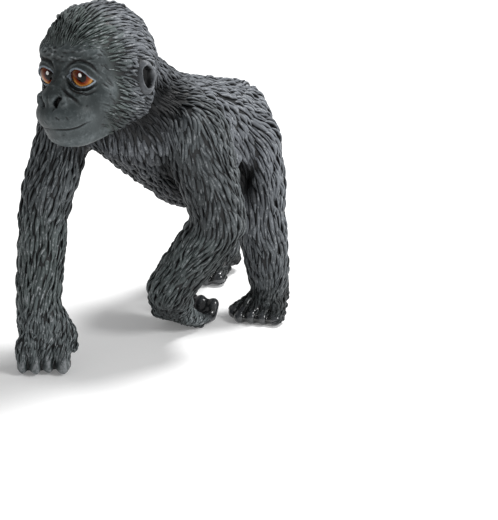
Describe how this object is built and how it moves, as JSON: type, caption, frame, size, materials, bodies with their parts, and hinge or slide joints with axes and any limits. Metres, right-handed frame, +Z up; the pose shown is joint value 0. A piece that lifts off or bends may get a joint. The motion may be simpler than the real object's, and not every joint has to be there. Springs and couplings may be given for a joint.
{
  "type": "toy gorilla figure",
  "caption": "Moulded toy figure of a baby gorilla walking on its knuckles, with sculpted dry-brushed fur, a bare smooth face and glossy brown eyes.",
  "frame": {"origin": "centre of the figure's box, on the plane that its hands and feet rest on", "axes": "-Y the way the figure walks, +X its left side, +Z up"},
  "size_m": [0.0316, 0.0658, 0.0599],
  "materials": {
    "fur_paint": "near-black moulded plastic, dry-brushed grey on the raised strands",
    "digit_gloss": "glossy black paint on fingers and toes",
    "eye_varnish": "painted orange-brown iris and black pupil under clear varnish"
  },
  "bodies": {
    "root": {"head": "fur_paint", "neck": "fur_paint", "trunk": "fur_paint", "left_ear": "fur_paint", "right_ear": "fur_paint", "left_eye": "eye_varnish", "right_eye": "eye_varnish", "left_upper_arm": "fur_paint", "left_forearm": "fur_paint", "left_hand": "digit_gloss", "right_upper_arm": "fur_paint", "right_forearm": "fur_paint", "right_hand": "digit_gloss", "left_thigh": "fur_paint", "left_shin": "fur_paint", "left_foot": "digit_gloss", "right_thigh": "fur_paint", "right_shin": "fur_paint", "right_foot": "digit_gloss"}
  },
  "joints": []
}
